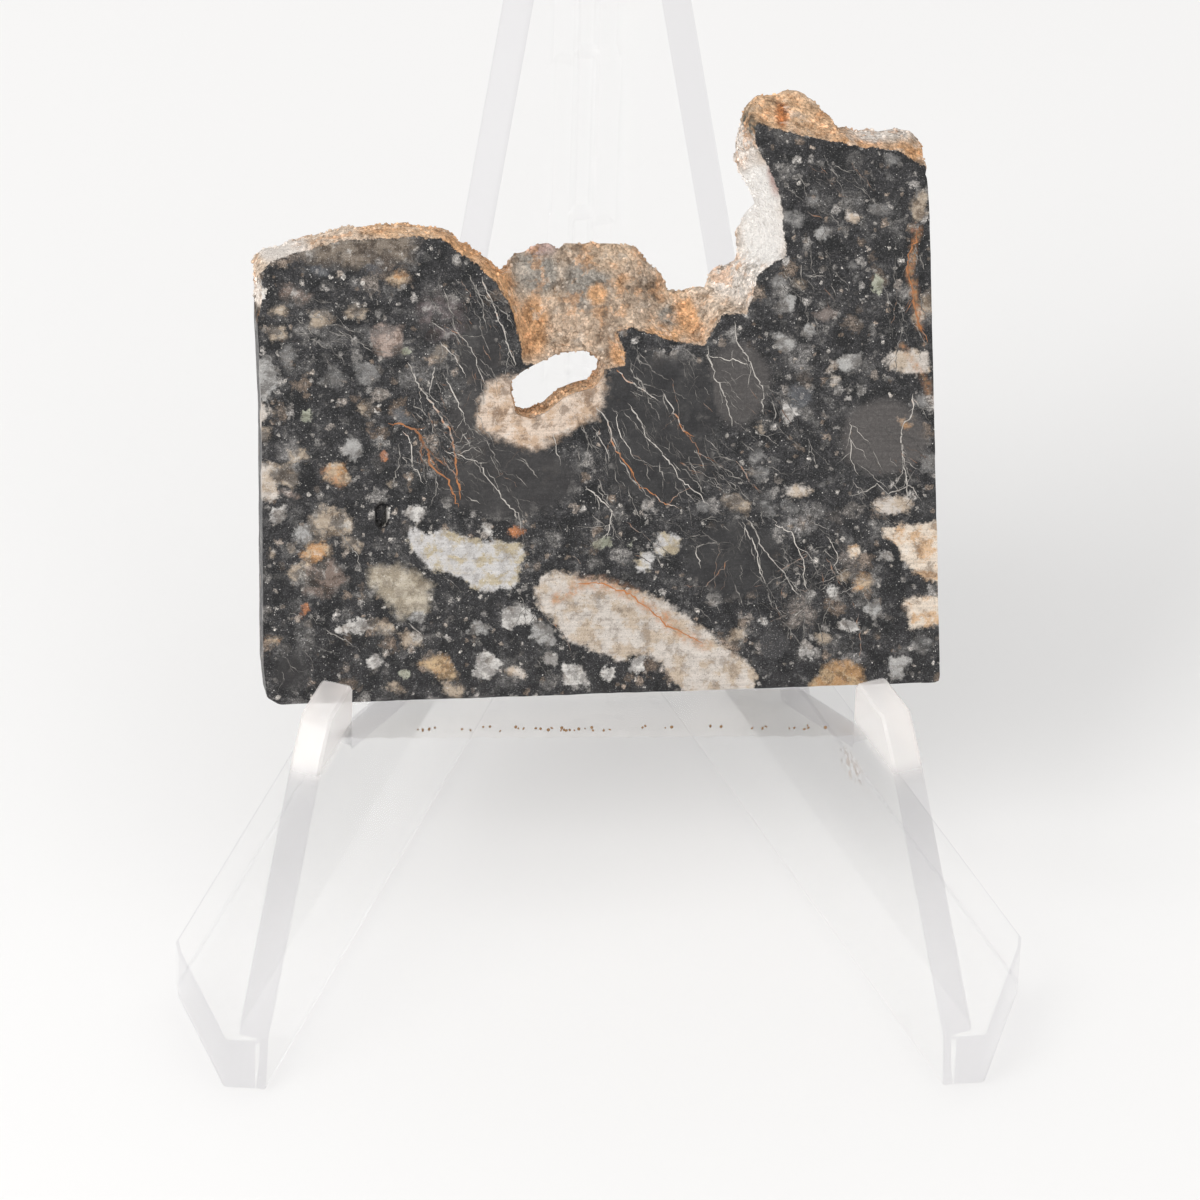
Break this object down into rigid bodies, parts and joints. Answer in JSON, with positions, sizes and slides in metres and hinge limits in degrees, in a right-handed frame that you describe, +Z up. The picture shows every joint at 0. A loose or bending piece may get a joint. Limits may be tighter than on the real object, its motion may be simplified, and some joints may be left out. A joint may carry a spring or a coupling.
{
  "type": "meteorite slice on a clear folding easel",
  "caption": "Sawn slice of a dark brecciated meteorite with pale clasts, veins and a broken upper edge, leaning on a small clear folding display easel.",
  "frame": {"origin": "middle of the base, on the surface the easel stands on", "axes": "+X to the right across the slice, +Y to the back towards the easel's hinge, +Z up"},
  "size_m": [0.0446, 0.046, 0.052],
  "materials": {
    "stone": "sawn, satin, with pale clasts and rusty weathered edges",
    "clear_plastic": "clear gloss moulded plastic",
    "clear_film": "clear gloss film, slightly soiled"
  },
  "bodies": {
    "root": {"slice": "stone", "easel_left_wing": "clear_plastic", "easel_right_wing": "clear_plastic", "seat_film": "clear_film"}
  },
  "joints": []
}
